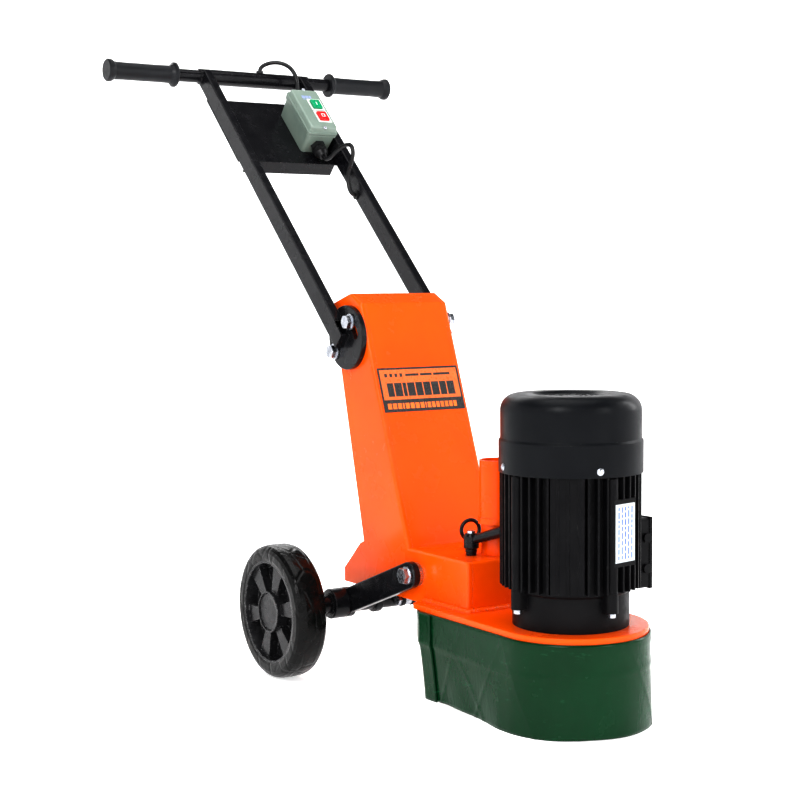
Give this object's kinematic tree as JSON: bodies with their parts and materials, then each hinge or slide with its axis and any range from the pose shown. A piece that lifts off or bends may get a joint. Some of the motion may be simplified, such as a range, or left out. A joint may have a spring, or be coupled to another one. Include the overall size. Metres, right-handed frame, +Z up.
{
  "type": "concrete floor grinder",
  "caption": "Walk-behind concrete grinder: upright motor over a skirted grinding disc, box-section neck on a wheeled frame, folding tube handle with grips and a start and stop switch box.",
  "frame": {"origin": "under the middle of the whole machine, on the floor it stands on", "axes": "+Z is up, +Y points from the grinding head to the operator's handlebar, +X is the machine's right side as the operator sees it from behind, where the switch box is"},
  "size_m": [0.5546, 1.02, 0.9845],
  "materials": {
    "orange_paint": "gloss",
    "black_paint": "semi-gloss",
    "motor_black": "satin over rough casting",
    "zinc": "zinc plated",
    "steel": "machined",
    "lamination": "bare",
    "skirt_green": "satin vinyl sheet",
    "tyre_black": "glossy polyurethane",
    "wheel_black": "moulded",
    "grip_rubber": "ribbed, matte",
    "switch_grey": "hammer grey",
    "button_green": "gloss",
    "button_red": "gloss",
    "black_plastic": "moulded",
    "cable_black": "satin",
    "white_plastic": "moulded",
    "label_dark": "printed film",
    "plate_silver": "printed foil",
    "segment_bronze": "sintered"
  },
  "bodies": {
    "chassis": {"base_plate": "orange_paint", "dust_skirt": "skirt_green", "side_shell_left": "orange_paint", "side_shell_right": "orange_paint", "chassis_deck": "orange_paint", "neck_front": "orange_paint", "neck_back": "orange_paint", "neck_label": "label_dark", "dust_port": "orange_paint", "motor_end_shield": "motor_black", "motor_frame": "motor_black", "stator": "lamination", "motor_rear_shield": "motor_black", "shaft_bearings": "steel", "fan_cowl": "black_paint", "motor_bolts": "zinc", "nameplate": "plate_silver", "terminal_box": "motor_black", "clamp_stud": "zinc", "plunger_body": "black_paint", "arm_pivots": "zinc", "handle_bolts": "zinc"},
    "rotor": {"rotor_shaft": "steel", "cooling_fan": "black_plastic", "drive_hub": "steel", "grinding_disc": "steel", "disc_bolts": "zinc", "diamond_segments": "segment_bronze"},
    "wheel_frame": {"wheel_arm_left": "black_paint", "wheel_arm_right": "black_paint", "axle_tube": "black_paint", "axle": "black_paint", "clevis_pin": "zinc", "hub_bearings_left": "steel", "hub_bearings_right": "steel"},
    "adjuster_spindle": {"adjuster_spindle": "zinc"},
    "adjuster_trunnion": {"adjuster_trunnion": "zinc"},
    "wheel_left": {"tyre_left": "tyre_black", "wheel_core_left": "wheel_black"},
    "wheel_right": {"tyre_right": "tyre_black", "wheel_core_right": "wheel_black"},
    "handle": {"handle_leg_left": "black_paint", "handle_leg_right": "black_paint", "handlebar": "black_paint", "grip_left": "grip_rubber", "grip_right": "grip_rubber", "switch_panel": "black_paint", "switch_base": "switch_grey", "switch_lid": "switch_grey", "button_bezels": "white_plastic", "cable_glands": "black_plastic", "box_screws": "zinc", "feed_cable": "cable_black", "motor_cable": "cable_black"},
    "start_button": {"start_button": "button_green"},
    "stop_button": {"stop_button": "button_red"},
    "clamp_lever": {"clamp_lever": "black_paint"},
    "plunger": {"plunger_pin": "black_paint"}
  },
  "joints": [
    {"name": "rotor_spin", "type": "hinge", "parent": "chassis", "child": "rotor", "pos_m": [0, -0.403, 0.02], "axis": [0, 0, 1], "continuous": true},
    {"name": "wheel_frame_tilt", "type": "hinge", "parent": "chassis", "child": "wheel_frame", "pos_m": [0, -0.149, 0.1685], "axis": [1, 0, 0], "range_deg": [-3, 3]},
    {"name": "spindle_swing", "type": "hinge", "parent": "wheel_frame", "child": "adjuster_spindle", "pos_m": [0, 0.002, 0.1], "axis": [1, 0, 0], "range_deg": [-1.5, 1.5]},
    {"name": "trunnion_swing", "type": "hinge", "parent": "chassis", "child": "adjuster_trunnion", "pos_m": [0, -0.015, 0.178], "axis": [1, 0, 0], "range_deg": [-4.5, 4.5]},
    {"name": "wheel_left_spin", "type": "hinge", "parent": "wheel_frame", "child": "wheel_left", "pos_m": [-0.2034, 0.0313, 0.1], "axis": [1, 0, 0], "continuous": true},
    {"name": "wheel_right_spin", "type": "hinge", "parent": "wheel_frame", "child": "wheel_right", "pos_m": [0.2034, 0.0313, 0.1], "axis": [1, 0, 0], "continuous": true},
    {"name": "handle_tilt", "type": "hinge", "parent": "chassis", "child": "handle", "pos_m": [0, 0.0635, 0.4842], "axis": [1, 0, 0], "range_deg": [-20, 8]},
    {"name": "start_button_press", "type": "slide", "parent": "handle", "child": "start_button", "axis": [0, 0.697, -0.717], "range_m": [0, 0.003], "stiffness_N_per_m": 500},
    {"name": "stop_button_press", "type": "slide", "parent": "handle", "child": "stop_button", "axis": [0, 0.697, -0.717], "range_m": [0, 0.003], "stiffness_N_per_m": 500},
    {"name": "clamp_lever_turn", "type": "hinge", "parent": "chassis", "child": "clamp_lever", "pos_m": [-0.038, -0.227, 0.225], "axis": [0, 0, 1], "range_deg": [-100, 5]},
    {"name": "plunger_pull", "type": "slide", "parent": "chassis", "child": "plunger", "axis": [0, 0, 1], "range_m": [0, 0.008], "stiffness_N_per_m": 900}
  ],
  "couplings": [
    {"joint": "trunnion_swing", "follows": "wheel_frame_tilt", "ratio": 1.2466},
    {"joint": "spindle_swing", "follows": "wheel_frame_tilt", "ratio": 0.2466}
  ]
}
